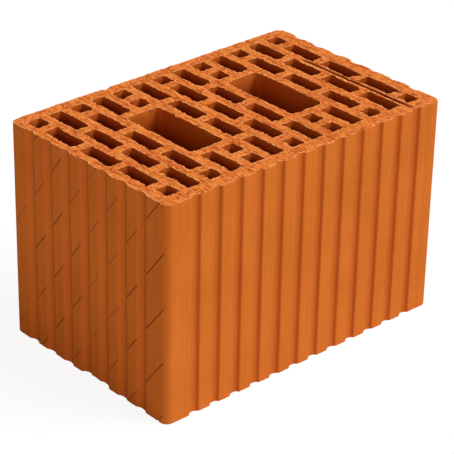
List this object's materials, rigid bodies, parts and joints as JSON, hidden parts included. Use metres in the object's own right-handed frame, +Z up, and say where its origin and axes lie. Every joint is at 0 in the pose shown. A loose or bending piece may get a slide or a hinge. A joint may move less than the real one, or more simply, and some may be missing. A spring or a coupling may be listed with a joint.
{
  "type": "perforated clay block",
  "caption": "Extruded, wire-cut and fired clay masonry block with staggered upright slots, grip holes through the middle and fluted faces that key mortar and plaster.",
  "frame": {"origin": "centre of the lower bed face, on the surface the block stands on", "axes": "+X along the length, +Y towards the plain long face, +Z up along the perforations"},
  "size_m": [0.29, 0.19, 0.19],
  "materials": {
    "fired_clay": "matt unglazed fired clay, smooth on the extruded faces and rough on the cut bed faces"
  },
  "bodies": {
    "root": {"clay_block": "fired_clay"}
  },
  "joints": []
}
